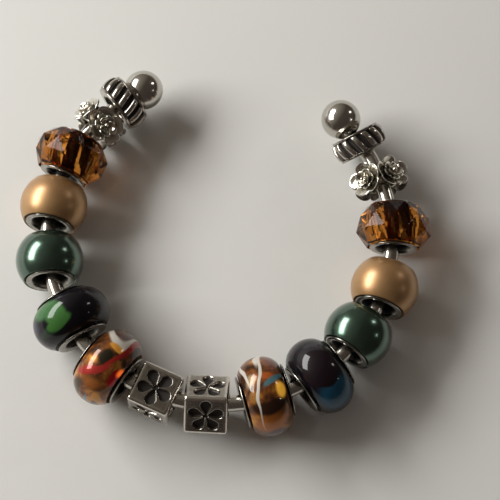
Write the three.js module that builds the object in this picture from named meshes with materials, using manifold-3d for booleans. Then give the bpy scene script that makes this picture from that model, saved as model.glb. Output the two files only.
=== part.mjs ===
// A charm bracelet lying on its side: an open cuff of round steel wire, bent to one radius, with a
// ball on each end, threaded with large-hole beads. From the left end to the right end they are a
// ribbed ring, a rose bead, a cut amber glass bead, a gold and a green pearl, a dark and a foil glass
// bead, two flower cubes, and the same beads again in the opposite order.
// Lengths are in millimetres and angles in degrees. X runs across the cuff's opening, Y from the
// front of the cuff to its opening, and Z up from the surface that it lies on.
import * as THREE from "three";
import { mergeVertices } from "three/addons/utils/BufferGeometryUtils.js";
import Module from "manifold-3d";

const wasm = await Module();
wasm.setup();

// The cuff and its ball ends
const cuffRadius = 30.5; // of the bend, to the middle of the wire
const wireDiameter = 2.8;
const lieTurn = -9; // how the opening is turned from straight back
const ballDiameter = 7.1;
const pinDiameter = 1.6; // of the turned-down end of the wire inside each ball
const pinLength = 2.4;

// Clearances
const gap = 0.3; // between neighbouring pieces
const pinGap = 0.25; // round the pin inside a ball

// The metal sleeve that lines each glass bead and pearl
const sleeveBore = 5.4;
const sleeveWall = 0.35;
const lipThickness = 0.55; // of the turned-out lip at each end
const lipRound = 0.22; // by which the lip's outer corner is broken
const mouthWidening = 0.5; // of the bore at the lip
const mouthDepth = 1.0; // over which the bore widens
const dishDepth = 0.14; // of the lip's hollow face

// The glass beads and pearls, by the lip's radius and the length over both lips
const pearl = { radius: 6, length: 8.2, lip: 4.3 };
const blown = { radius: 7, length: 8.5, lip: 4.75, shoulder: 3.4, fullness: 3.95 };
const crystal = { radius: 6.68, length: 8.2, lip: 4.3, girdle: 2.54, crown: 3.6 };
const crystalSides = 10;

// The ribbed rings
const ringRadius = 5; // over the ribs
const ringLength = 4;
const ringBore = 5.6;
const ringMouth = 3.2; // radius of the bore's widened mouths
const rimRadius = 4.6;
const rimWidth = 0.42;
const grooveRadius = 4.15; // at the bottom of the grooves between ribs
const ribFall = 0.35; // by which a rib is lower at its ends
const ribCount = 14;
const ribSlant = 20; // of a rib to the ring's axis

// The rose beads
const roseCoreRadius = 3.35;
const roseCoreLength = 3.4;
const roseBore = 5.2;
const roseRadius = 3.05; // of one blossom, along the wire
const roseBreadth = 3.8; // of one blossom, from its middle to its edge round the wire
const roseSeat = 3.05; // from the bead's axis to the back of a blossom
const roseDepth = 1.9;
const roseCount = 4;
const petalCount = 5;

// The flower cubes
const cubeSide = 7.6;
const cubeCorner = 0.55; // radius of the long edges
const cubeBevel = 0.35; // of the end edges
const cubeBore = 5.1;
const flowerReach = 3.15; // from the middle of a face to a petal's round end
const flowerHeart = 0.25; // from the middle of a face to a petal's point
const petalWidth = 1.75;
const petalDepth = 0.5;

// Facets: sides of round pieces, and steps round curves
const glassSides = 16;
const metalSides = 12;
const wireSides = 10;
const cuffStep = 5; // degrees of bend to one step of the wire
const arcSteps = 8; // along a bead's outline

const rad = THREE.MathUtils.degToRad;
const wireRadius = wireDiameter / 2;
const ballRadius = ballDiameter / 2;
const ballStand = ballRadius + gap; // from the end of the wire to the middle of its ball

// How far a bead can shift off the wire's middle before it nears the wire by less than the gap.
const slackOf = (bore, sides) => (bore / 2) * Math.cos(Math.PI / sides) - wireRadius - gap;

// One closed mesh as a solid, with vertices in common where its faces meet.
function solidOf(geometry) {
  const bare = geometry.clone();
  bare.deleteAttribute("normal");
  bare.deleteAttribute("uv");
  const merged = mergeVertices(bare, 1e-4);
  return new wasm.Manifold(
    new wasm.Mesh({
      numProp: 3,
      vertProperties: new Float32Array(merged.attributes.position.array),
      triVerts: new Uint32Array(merged.index.array),
    }),
  );
}

function geometryOf(solid) {
  const mesh = solid.getMesh();
  const geometry = new THREE.BufferGeometry();
  geometry.setAttribute("position", new THREE.BufferAttribute(mesh.vertProperties, 3));
  geometry.setIndex(new THREE.BufferAttribute(mesh.triVerts, 1));
  geometry.computeVertexNormals();
  return geometry;
}

const join = (first, ...others) =>
  geometryOf(others.reduce((whole, next) => whole.add(solidOf(next)), solidOf(first)));
const cut = (first, ...others) =>
  geometryOf(others.reduce((whole, next) => whole.subtract(solidOf(next)), solidOf(first)));

// A ring of the given closed outline, turned round the wire's direction, X. The outline's points are
// [radius, place along the axis], up the outside and down the inside. A corner of the round points up.
function turned(outline, sides, start = 0) {
  const points = [...outline, outline[0]].map(([r, along]) => new THREE.Vector2(r, along));
  return new THREE.LatheGeometry(points, sides, start).rotateZ(-Math.PI / 2);
}

// The other half of an outline that is alike on both sides of the bead's middle.
const mirrored = (half) => half.map(([r, along]) => [r, -along]).reverse();

const steps = (count) => Array.from({ length: count + 1 }, (_, i) => i / count);

// The cuff: a round wire bent to an arc about the origin, ending in a straight pin inside each ball.
function cuffGeometry(bend) {
  const arc = new THREE.Curve();
  arc.getPoint = (t, target = new THREE.Vector3()) => {
    const a = (2 * t - 1) * bend;
    return target.set(Math.sin(a), -Math.cos(a), 0).multiplyScalar(cuffRadius);
  };
  const section = new THREE.Shape(
    steps(wireSides)
      .slice(0, -1)
      .map((t) => new THREE.Vector2(Math.cos(2 * Math.PI * t), Math.sin(2 * Math.PI * t)))
      .map((p) => p.multiplyScalar(wireRadius)),
  );
  const wire = new THREE.ExtrudeGeometry(section, {
    steps: Math.round((2 * bend) / rad(cuffStep)),
    extrudePath: arc,
  });
  const rooted = wireRadius; // length of the pin inside the wire
  const pins = [-1, 1].map((side) => {
    const pin = new THREE.CylinderGeometry(pinDiameter / 2, pinDiameter / 2, pinLength + rooted, wireSides);
    pin.rotateZ(Math.PI / 2).translate((side * (pinLength - rooted)) / 2, 0, 0);
    return pin.translate(0, -cuffRadius, 0).rotateZ(side * bend);
  });
  return join(wire, ...pins);
}

// A ball with a blind hole for the wire's pin. The hole's mouth faces the cuff, along -X.
function ballGeometry() {
  const ball = new THREE.SphereGeometry(ballRadius, glassSides, arcSteps + 2).rotateX(Math.PI / 2);
  const holeRadius = pinDiameter / 2 + pinGap;
  const holeEnd = pinLength + pinGap - ballStand;
  const hole = new THREE.CylinderGeometry(holeRadius, holeRadius, 2 * ballRadius, metalSides);
  return cut(ball, hole.rotateZ(Math.PI / 2).translate(holeEnd - ballRadius, 0, 0));
}

// The sleeve: a tube with a dished lip turned out at each end.
function sleeveGeometry({ length, lip }) {
  const half = length / 2;
  const bore = sleeveBore / 2;
  const end = [
    [bore + sleeveWall, half - lipThickness],
    [lip, half - lipThickness / 2],
    [lip - lipRound, half],
    [bore + mouthWidening, half - dishDepth],
    [bore, half - mouthDepth],
  ];
  return turned([...end, ...mirrored(end)], metalSides);
}

// The radius of a hole whose flat sides clear a round of the given radius by the gap.
const clearing = (radius, sides) => (radius + gap) / Math.cos(Math.PI / sides);

// A glass body of the given outer outline, bored for the sleeve and recessed for its lips.
function bodyGeometry({ length, lip }, outline, sides, start = 0) {
  const floor = length / 2 - lipThickness - gap;
  const recess = [
    [clearing(lip, sides), floor],
    [clearing(sleeveBore / 2 + sleeveWall, sides), floor],
  ];
  return turned([...outline, ...recess, ...mirrored(recess)], sides, start);
}

function pearlGeometry() {
  const edge = Math.acos(clearing(pearl.lip, glassSides) / pearl.radius);
  const outline = steps(arcSteps).map((t) => {
    const a = (2 * t - 1) * edge;
    return [pearl.radius * Math.cos(a), pearl.radius * Math.sin(a)];
  });
  return bodyGeometry(pearl, outline, glassSides);
}

// A blown bead's side is half an ellipse, as deep as its shoulder and as high as its fullness.
function blownGeometry() {
  const middle = blown.radius - blown.shoulder;
  const edge = Math.acos((clearing(blown.lip, glassSides) - middle) / blown.shoulder);
  const outline = steps(arcSteps).map((t) => {
    const a = (2 * t - 1) * edge;
    return [middle + blown.shoulder * Math.cos(a), blown.fullness * Math.sin(a)];
  });
  return bodyGeometry(blown, outline, glassSides);
}

// The cut bead has a row of upright girdle facets between two rows of sloping ones. A girdle facet
// faces straight up and another straight down.
function crystalGeometry() {
  const half = [
    [crystal.radius, crystal.girdle / 2],
    [clearing(crystal.lip, crystalSides), crystal.crown],
  ];
  return bodyGeometry(crystal, [...mirrored(half), ...half], crystalSides, Math.PI / crystalSides);
}

// The ribbed ring: a rim at each end and slanted ribs between, three points of the round to a rib.
function ringGeometry() {
  const half = ringLength / 2;
  const ribEnd = half - rimWidth - gap;
  const outline = [
    [rimRadius, -half],
    [rimRadius, rimWidth - half],
    [ringRadius - ribFall, -ribEnd],
    [ringRadius, 0],
    [ringRadius - ribFall, ribEnd],
    [rimRadius, half - rimWidth],
    [rimRadius, half],
    [ringMouth, half],
    [ringBore / 2, half + ringBore / 2 - ringMouth],
    [ringBore / 2, ringMouth - ringBore / 2 - half],
    [ringMouth, -half],
  ];
  const geometry = turned(outline, 3 * ribCount);
  const rows = outline.length + 1;
  const place = geometry.attributes.position;
  const twist = -Math.tan(rad(ribSlant)) / ringRadius; // radians to a millimetre of length
  for (let i = 0; i < place.count; i++) {
    const ribRow = i % rows > 1 && i % rows < 5;
    const groove = ribRow && Math.floor(i / rows) % 3 === 0;
    const point = new THREE.Vector3().fromBufferAttribute(place, i);
    const spread = groove ? grooveRadius / Math.hypot(point.y, point.z) : 1;
    point.set(point.x, point.y * spread, point.z * spread);
    point.applyAxisAngle(new THREE.Vector3(1, 0, 0), point.x * twist);
    place.setXYZ(i, point.x, point.y, point.z);
  }
  return geometry;
}

// One blossom, its back at the origin and its face up: rows of [share of the radius, share of the
// depth, depth of the notches between petals, petals' shift], from the back to the bud.
function roseGeometry() {
  const rows = [
    [0, -0.35, 0, 0],
    [0.6, -0.3, 0, 0],
    [0.98, 0.2, 0.2, 0],
    [1, 0.42, 0.24, 0],
    [0.68, 0.34, 0.1, 2],
    [0.72, 0.74, 0.2, 2],
    [0.6, 0.8, 0.2, 2],
    [0.34, 0.64, 0.1, 0],
    [0.34, 1, 0.25, 0],
    [0, 0.86, 0, 0],
  ];
  const perPetal = 4;
  const points = rows.map(([r, h]) => new THREE.Vector2(r * roseRadius, h * roseDepth));
  const geometry = new THREE.LatheGeometry(points, perPetal * petalCount);
  const place = geometry.attributes.position;
  for (let i = 0; i < place.count; i++) {
    const [, , notch, shift] = rows[i % rows.length];
    const column = Math.floor(i / rows.length) + shift;
    const towardsNotch = (1 + Math.cos((2 * Math.PI * column) / perPetal)) / 2;
    const share = 1 - notch * towardsNotch ** 2;
    const shareRound = (share * roseBreadth) / roseRadius;
    place.setXYZ(i, place.getX(i) * share, place.getY(i), place.getZ(i) * shareRound);
  }
  return geometry.rotateX(Math.PI / 2);
}

// The rose bead: a short tube with blossoms facing out all round it.
function roseBeadGeometry() {
  const half = roseCoreLength / 2;
  const corner = (roseCoreRadius - roseBore / 2) / 2;
  const end = [
    [roseCoreRadius, half - corner],
    [roseCoreRadius - corner, half],
    [roseBore / 2, half - corner],
  ];
  const tube = turned([...end, ...mirrored(end)], metalSides);
  const roses = Array.from({ length: roseCount }, (_, i) =>
    roseGeometry()
      .translate(0, 0, roseSeat)
      .rotateX((2 * Math.PI * i) / roseCount),
  );
  return join(tube, ...roses);
}

// A petal of the engraved flower, its point near the origin and its round end towards +Y.
function petalShape() {
  const round = petalWidth / 2;
  const middle = flowerReach - round;
  const lean = Math.acos(round / (middle - flowerHeart));
  const petal = new THREE.Shape();
  petal.moveTo(0, flowerHeart);
  petal.absarc(0, middle, round, lean - Math.PI / 2, 1.5 * Math.PI - lean, false);
  petal.closePath();
  return petal;
}

// The flower cube: rounded edges, a round bore along X, and a flower cut into each long face.
function cubeGeometry() {
  const side = cubeSide / 2;
  const flat = side - cubeCorner;
  const square = new THREE.Shape();
  square.moveTo(side, -flat);
  square.absarc(flat, flat, cubeCorner, 0, Math.PI / 2, false);
  square.absarc(-flat, flat, cubeCorner, Math.PI / 2, Math.PI, false);
  square.absarc(-flat, -flat, cubeCorner, Math.PI, 1.5 * Math.PI, false);
  square.absarc(flat, -flat, cubeCorner, 1.5 * Math.PI, 2 * Math.PI, false);
  const block = new THREE.ExtrudeGeometry(square, {
    depth: cubeSide - 2 * cubeBevel,
    curveSegments: 2,
    bevelSize: cubeBevel,
    bevelOffset: -cubeBevel,
    bevelThickness: cubeBevel,
    bevelSegments: 1,
  });
  block.translate(0, 0, cubeBevel - side).rotateY(Math.PI / 2);
  const bore = new THREE.CylinderGeometry(cubeBore / 2, cubeBore / 2, 2 * cubeSide, metalSides);
  const petals = [0, 1, 2, 3].flatMap((face) =>
    [0, 1, 2, 3, 4].map((n) =>
      new THREE.ExtrudeGeometry(petalShape(), { depth: cubeSide, curveSegments: 5, bevelEnabled: false })
        .rotateZ((2 * Math.PI * n) / 5)
        .translate(0, 0, side - petalDepth)
        .rotateX((Math.PI * face) / 2),
    ),
  );
  return cut(block, bore.rotateZ(Math.PI / 2), ...petals);
}

const finish = (color, roughness, metalness) =>
  new THREE.MeshStandardMaterial({ color, roughness, metalness });
const steel = finish("#c9c7c2", 0.12, 1);
const silver = finish("#8f8b84", 0.32, 1);
const eyelet = finish("#b9b5ad", 0.2, 1);
const amberGlass = finish("#7a3c10", 0.06, 0);
const goldPearl = finish("#b4834a", 0.3, 0.1);
const greenPearl = finish("#24453a", 0.18, 0.1);
const darkGlass = finish("#17131d", 0.06, 0);
const foilGlass = finish("#a8561c", 0.08, 0);

// What each kind of bead is made of, with its half length along the wire, the radius at which it
// meets its neighbours, how far it can shift off the wire, and the height at which it rests.
const sleeved = (size, body, material, restHeight) => ({
  half: size.length / 2,
  meets: size.lip,
  slack: slackOf(sleeveBore, metalSides),
  restHeight,
  pieces: [
    { suffix: "_body", geometry: body, material },
    { suffix: "_core", geometry: sleeveGeometry(size), material: eyelet },
  ],
});
const crystalRest = crystal.radius * Math.cos(Math.PI / crystalSides);
const kinds = {
  ring: {
    half: ringLength / 2,
    meets: rimRadius,
    slack: slackOf(ringBore, 3 * ribCount),
    pieces: [{ suffix: "", geometry: ringGeometry(), material: silver }],
  },
  rose: {
    half: roseRadius,
    meets: roseSeat,
    slack: slackOf(roseBore, metalSides),
    pieces: [{ suffix: "", geometry: roseBeadGeometry(), material: silver }],
  },
  amber: sleeved(crystal, crystalGeometry(), amberGlass, crystalRest),
  gold: sleeved(pearl, pearlGeometry(), goldPearl, pearl.radius),
  green: sleeved(pearl, pearlGeometry(), greenPearl, pearl.radius),
  dark: sleeved(blown, blownGeometry(), darkGlass, blown.radius),
  foil: sleeved(blown, blownGeometry(), foilGlass, blown.radius),
  cube: {
    half: cubeSide / 2,
    meets: cubeSide / 2,
    slack: slackOf(cubeBore, metalSides),
    pieces: [{ suffix: "", geometry: cubeGeometry(), material: silver }],
  },
};

// The beads from the left end to the right end. play is the bare wire left before the bead, in
// millimetres. out and up are shifts off the bead's plain place, and turn and rise are leans of its
// axis off the wire's, all as shares of what its bore allows: out from the middle of the cuff, turn
// anticlockwise from above, and rise of its end towards the right. roll is its turn round the wire,
// and reversed says that it is threaded the other way round.
const strung = [
  { name: "ring_left", kind: "ring", play: 0.3, out: 0, up: 1, turn: 0.1, rise: 0, roll: 5 },
  { name: "rose_left", kind: "rose", play: 0.05, out: 0, up: 0, turn: 0, rise: 0, roll: -31 },
  { name: "amber_left", kind: "amber", play: 0.3, out: 0.1, up: 0, turn: 0.5, rise: 0, roll: 0 },
  { name: "gold_left", kind: "gold", play: 0, out: -0.3, up: 0, turn: 0, rise: 0.7, roll: 0 },
  { name: "green_left", kind: "green", play: 0.85, out: 0, up: 0.3, turn: -0.4, rise: 0.8, roll: 0 },
  { name: "dark_left", kind: "dark", play: 1.9, out: -0.4, up: 0, turn: -0.1, rise: 0, roll: 0 },
  { name: "foil_left", kind: "foil", play: 0.85, out: 0.5, up: 0, turn: 0.2, rise: 0, roll: 0 },
  { name: "cube_left", kind: "cube", play: 0.1, out: 0, up: 0, turn: -0.3, rise: 0, roll: 4, reversed: true },
  { name: "cube_right", kind: "cube", play: 0.45, out: 0, up: 0, turn: 0.1, rise: 0, roll: 45 },
  { name: "foil_right", kind: "foil", play: 1.05, out: -0.2, up: 0, turn: 0.1, rise: 0, roll: 0 },
  { name: "dark_right", kind: "dark", play: 0, out: 0.6, up: 0, turn: 0.2, rise: 0, roll: 0 },
  { name: "green_right", kind: "green", play: 0.4, out: -0.2, up: 0, turn: 0.2, rise: -0.6, roll: 0 },
  { name: "gold_right", kind: "gold", play: 0.2, out: 0.2, up: 0, turn: 0, rise: -0.65, roll: 0 },
  { name: "amber_right", kind: "amber", play: 1.6, out: 0.5, up: 0, turn: -0.4, rise: 0, roll: 0 },
  { name: "rose_right", kind: "rose", play: 1.65, out: 0, up: 0, turn: -0.3, rise: 0, roll: 38 },
  { name: "ring_right", kind: "ring", play: 1.95, out: 0, up: 0.5, turn: -0.2, rise: 0.55, roll: 0 },
];
const lastPlay = 1.3; // bare wire between the last bead and the right ball

// The ball sits in the mouth of the ring next to it.
const ballSeat = ringLength / 2 + Math.sqrt((ballRadius + gap) ** 2 - ringMouth ** 2);

// Beads meet at the inside of the bend, so their middles lie further apart along the wire.
const spread = (meets) => cuffRadius / (cuffRadius - meets);
function spacing(before, after) {
  const meets = Math.min(before.meets, after.meets);
  return (before.half + after.half) * spread(meets);
}

// Places along the wire, in millimetres from the left ball's middle.
const places = [];
strung.forEach(({ kind, play }, i) => {
  const room = i ? places[i - 1] + spacing(kinds[strung[i - 1].kind], kinds[kind]) : ballSeat;
  places.push(room + play);
});
const wireLength = places[places.length - 1] + lastPlay + ballSeat;
const halfAngle = wireLength / cuffRadius / 2;
const bend = halfAngle - ballStand / cuffRadius; // the wire itself ends short of each ball

// The cuff rests in the bores of the largest beads, whose weight is on the surface.
const wireRest = 0.6; // share of the slack by which the largest bead's middle stands above the wire
const highestRest = Math.max(...Object.values(kinds).map((kind) => kind.restHeight ?? 0));
const wireHeight = highestRest - wireRest * slackOf(sleeveBore, metalSides);

// A group at the given angle round the cuff, with X along the wire and Y towards the middle.
function station(angle) {
  const group = new THREE.Group();
  group.rotation.z = angle;
  group.position.set(Math.sin(angle), -Math.cos(angle), 0).multiplyScalar(cuffRadius);
  return group;
}

function meshOf(name, geometry, material) {
  const mesh = new THREE.Mesh(geometry, material);
  mesh.name = name;
  return mesh;
}

const bracelet = new THREE.Group();
bracelet.rotation.z = rad(lieTurn);
bracelet.add(meshOf("cuff", cuffGeometry(bend), steel));

[
  ["ball_left", -1],
  ["ball_right", 1],
].forEach(([name, side]) => {
  const end = station(side * bend);
  const ball = meshOf(name, ballGeometry(), steel);
  ball.position.x = side * ballStand;
  ball.rotation.z = side < 0 ? Math.PI : 0;
  end.add(ball);
  bracelet.add(end);
});

strung.forEach(({ name, kind, out, up, turn, rise, roll, reversed }, i) => {
  const { half, slack, restHeight, pieces } = kinds[kind];
  const lean = Math.atan(slack / half);
  const settled = Math.max((restHeight ?? 0) - wireHeight, -slack);
  const bead = new THREE.Group();
  bead.position.set(0, -out * slack, settled + up * slack);
  bead.rotation.set(rad(roll), -rise * lean, turn * lean + (reversed ? Math.PI : 0), "ZYX");
  pieces.forEach((piece) => bead.add(meshOf(name + piece.suffix, piece.geometry, piece.material)));
  const place = station(places[i] / cuffRadius - halfAngle);
  place.add(bead);
  bracelet.add(place);
});

// The frame's origin is under the middle of the bracelet's box, on the surface that it lies on.
const whole = new THREE.Group();
whole.add(bracelet);
const box = new THREE.Box3().setFromObject(whole, true);
const middle = box.getCenter(new THREE.Vector3());
bracelet.position.set(-middle.x, -middle.y, -box.min.z);

export default whole;
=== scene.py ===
"""A charm bracelet lying on its side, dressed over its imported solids.

The band is an open cuff of round steel wire with a ball on each end. It is threaded with ribbed rings,
rose beads, cut amber glass, pearls, dark and foil glass beads and two flower cubes. Each piece is a
smooth surface made on the place of its solid. Lengths are in millimetres until a mesh is written.
A piece's own axes run along the wire towards the right end, towards the cuff's middle, and up.
"""

import logging
import math
from dataclasses import dataclass, field
from enum import Enum
from typing import Any, Iterable

import bpy
import numpy as np
from mathutils import Matrix, Vector


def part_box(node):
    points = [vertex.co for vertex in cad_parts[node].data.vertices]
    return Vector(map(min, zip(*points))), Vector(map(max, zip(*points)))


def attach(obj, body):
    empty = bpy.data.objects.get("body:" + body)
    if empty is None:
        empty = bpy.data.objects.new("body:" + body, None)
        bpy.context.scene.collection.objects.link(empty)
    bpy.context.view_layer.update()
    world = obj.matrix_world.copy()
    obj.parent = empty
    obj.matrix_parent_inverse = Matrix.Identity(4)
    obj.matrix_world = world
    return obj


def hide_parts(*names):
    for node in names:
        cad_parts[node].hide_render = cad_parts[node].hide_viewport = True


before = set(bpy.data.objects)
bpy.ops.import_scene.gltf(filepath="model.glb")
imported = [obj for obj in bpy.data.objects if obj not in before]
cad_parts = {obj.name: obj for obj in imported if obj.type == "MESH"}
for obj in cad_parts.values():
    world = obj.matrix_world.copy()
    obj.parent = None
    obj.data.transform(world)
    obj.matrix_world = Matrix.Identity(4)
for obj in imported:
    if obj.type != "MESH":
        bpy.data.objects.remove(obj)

log = logging.getLogger("bracelet")

MM = 0.001
PLACE = "own_place"  # attribute: a point's place on its own piece, in millimetres
HOLLOW = "hollow"  # attribute: 0 on the high places of cast metal, 1 in its hollows
END_COSINE = 0.9  # of the angle to the wire, over which a facet belongs to a cube's end
SIDE_COSINE = 0.3  # and under which it looks away from the wire
FILLET_SHARE = 0.48  # of an edge, the most that the fillet at one of its ends may take
BLOWN_MIDDLE = 3.6  # radius of the middle of the ellipse that a blown bead is turned from
BLOWN_DEPTH = 3.4  # half the ellipse across the wire
BLOWN_REACH = 3.95  # half the ellipse along the wire
Colour = tuple[float, float, float]
BLACK: Colour = (0.0, 0.0, 0.0)


def shade(red: int, green: int, blue: int) -> Colour:
    """A colour given as it shows on a screen, 0 to 255, as amounts of light.

    Each share c becomes ((c + 0.055) / 1.055)^2.4.
    """
    r, g, b = (((c / 255 + 0.055) / 1.055) ** 2.4 for c in (red, green, blue))
    return r, g, b


class Side(Enum):
    """The half of the bracelet that a bead is on."""

    LEFT = "left"
    RIGHT = "right"

    @property
    def sign(self) -> int:
        """-1 on the left and 1 on the right, as the wire runs."""
        return -1 if self is Side.LEFT else 1


class Slot(Enum):
    """The record's material slots."""

    STEEL = "steel"
    SILVER = "silver"
    EYELET = "eyelet"
    AMBER = "amber_glass"
    GOLD = "gold_pearl"
    GREEN = "green_pearl"
    DARK = "dark_glass"
    FOIL = "foil_glass"


# Places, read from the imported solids


def corners(node: str) -> np.ndarray:
    """The places of a solid's vertices, in millimetres.

    Args:
        node: the solid's name.

    Returns:
        One row of three numbers for each vertex.
    """
    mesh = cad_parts[node].data
    flat = np.empty(len(mesh.vertices) * 3)
    mesh.vertices.foreach_get("co", flat)
    return flat.reshape(-1, 3) / MM


def unit(vector: np.ndarray) -> np.ndarray:
    """The vector at length one."""
    return vector / np.linalg.norm(vector)


@dataclass(frozen=True)
class Seat:
    """Where a piece sits: its middle and its own three axes, as rows."""

    origin: np.ndarray
    axes: np.ndarray

    @classmethod
    def along(cls, origin: np.ndarray, axis: np.ndarray) -> "Seat":
        """A seat whose first axis is given and whose third is as near to upright as can be.

        Args:
            origin: the piece's middle.
            axis: the direction along the wire, of length one.

        Returns:
            The seat.
        """
        up = unit(np.array([0.0, 0.0, 1.0]) - axis[2] * axis)
        return cls(origin, np.array([axis, np.cross(up, axis), up]))

    def rolled(self, angle: float) -> "Seat":
        """The seat turned round its first axis, by radians from up towards the cuff's middle."""
        inward, up = self.axes[1], self.axes[2]
        new_up = up * math.cos(angle) + inward * math.sin(angle)
        return Seat(self.origin, np.array([self.axes[0], np.cross(new_up, self.axes[0]), new_up]))

    def reversed(self) -> "Seat":
        """The seat of a piece that is threaded the other way round."""
        return Seat(self.origin, self.axes * np.array([[-1.0], [-1.0], [1.0]]))

    def place(self, own: np.ndarray) -> np.ndarray:
        """Own places, in millimetres, as places in the bracelet's frame, in millimetres."""
        return self.origin + own @ self.axes


@dataclass(frozen=True)
class Bend:
    """The arc of the wire's middle line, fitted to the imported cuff."""

    centre: np.ndarray
    radius: float

    @classmethod
    def fitted(cls) -> "Bend":
        """The circle with the least squares of x^2 + y^2 - 2ax - 2by - c over the cuff's vertices."""
        points = corners("cuff")
        system = np.column_stack([2 * points[:, :2], np.ones(len(points))])
        (a, b, c), *_ = np.linalg.lstsq(system, (points[:, :2] ** 2).sum(1), rcond=None)
        return cls(np.array([a, b, points[:, 2].mean()]), math.sqrt(c + a * a + b * b))

    def tangent(self, point: np.ndarray) -> np.ndarray:
        """The level direction along the wire, towards the right end, nearest to a point."""
        out = point - self.centre
        return unit(np.array([-out[1], out[0], 0.0]))

    def seat(self, node: str) -> Seat:
        """The seat of a turned solid.

        The axis is the direction whose spread of vertices differs from the two others, which are alike.

        Args:
            node: the solid's name.

        Returns:
            The seat, with its axis towards the right end.
        """
        points = corners(node)
        origin = points.mean(0)
        spread, directions = np.linalg.eigh(np.cov((points - origin).T))
        axis = directions[:, np.argmax(np.abs(spread - np.median(spread)))]
        return Seat.along(origin, axis * np.sign(axis @ self.tangent(origin)))

    def faced_seat(self, node: str, faces: int, axis: np.ndarray | None = None) -> Seat:
        """The seat of a solid with alike faces round the wire, from its facets' normals.

        The roll is the angle of the sum of exp(i faces turn) over the facets that look away from the wire,
        weighted by their area, over the number of faces.

        Args:
            node: the solid's name.
            faces: how many faces stand round it.
            axis: its axis, or None to take the mean of the normals within about 25 degrees of the wire.

        Returns:
            The seat, rolled so that its third axis looks out of a face.
        """
        points = corners(node).reshape(-1, 3, 3)
        crossed = np.cross(points[:, 1] - points[:, 0], points[:, 2] - points[:, 0])
        areas = np.linalg.norm(crossed, axis=1)
        normals = crossed / np.maximum(areas, 1e-9)[:, None]
        middle = (points.reshape(-1, 3).min(0) + points.reshape(-1, 3).max(0)) / 2
        if axis is None:
            ends = normals @ self.tangent(middle) > END_COSINE
            axis = unit((normals * (areas * ends)[:, None]).sum(0))
        plain = Seat.along(middle, axis)
        aside = normals @ plain.axes[1:].T
        outwards = ((points.mean(1) - middle) * normals).sum(1) > 0
        weight = areas * outwards * (np.abs(normals @ axis) < SIDE_COSINE)
        turn = np.arctan2(aside[:, 0], aside[:, 1])
        return plain.rolled(float(np.angle((np.exp(1j * faces * turn) * weight).sum())) / faces)


# Surfaces


def linked(name: str, data: Any) -> bpy.types.Object:
    """A new object of a mesh, a lamp or the camera, linked into the scene."""
    made = bpy.data.objects.new(name, data)
    bpy.context.scene.collection.objects.link(made)
    return made


def arc(start: float, end: float, count: int) -> np.ndarray:
    """Evenly spaced angles, in radians, both ends among them."""
    return np.linspace(start, end, count)


def turns(count: int) -> np.ndarray:
    """Evenly spaced turns round the wire, in radians from 0."""
    return np.linspace(0, 2 * math.pi, count, endpoint=False)


def turned(profile: np.ndarray, columns: int, start: Any = 0.0) -> np.ndarray:
    """A profile carried round the wire's direction.

    A point at the turn t is (along, radius sin t, radius cos t).

    Args:
        profile: rows of (along, radius).
        columns: how many turns the grid has.
        start: the first turn in radians, or a column with one for each row.

    Returns:
        A grid of points, a row for each profile point and a column for each turn.
    """
    turn = start + turns(columns)
    along, radius = profile[:, :1], profile[:, 1:]
    return np.stack([along + 0 * turn, radius * np.sin(turn), radius * np.cos(turn)], -1)


def filleted(end: list[tuple[float, float, float]], steps: int = 5) -> np.ndarray:
    """A closed outline with rounded corners, alike at both ends.

    Each corner becomes the curve (1-t)^2 A + 2t(1-t) P + t^2 B, from the point A at the fillet's length
    before the corner P to the point B after it.

    Args:
        end: (along, radius, fillet) for each corner of one end, from the outside in.
        steps: how many spans each fillet has.

    Returns:
        Rows of (along, radius).
    """
    rows = np.array(end)
    rows = np.vstack([rows, rows[::-1] * np.array([-1.0, 1.0, 1.0])])
    points, fillet = rows[:, :2], rows[:, 2:]

    def towards(other: np.ndarray) -> np.ndarray:
        way = other - points
        length = np.linalg.norm(way, axis=1, keepdims=True)
        return points + way / length * np.minimum(fillet, FILLET_SHARE * length)

    before, after = towards(np.roll(points, 1, 0)), towards(np.roll(points, -1, 0))
    t = np.linspace(0, 1, steps + 1)[None, :, None]
    curve = (1 - t) ** 2 * before[:, None] + 2 * t * (1 - t) * points[:, None] + t**2 * after[:, None]
    flat = curve.reshape(-1, 2)
    return flat[np.linalg.norm(flat - np.roll(flat, 1, 0), axis=1) > 1e-6]


def smoothstep(low: float, high: float, value: np.ndarray) -> np.ndarray:
    """3s^2 - 2s^3, where s is the share of the way from low to high, held to 0..1."""
    share = np.clip((value - low) / (high - low), 0, 1)
    return share * share * (3 - 2 * share)


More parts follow.
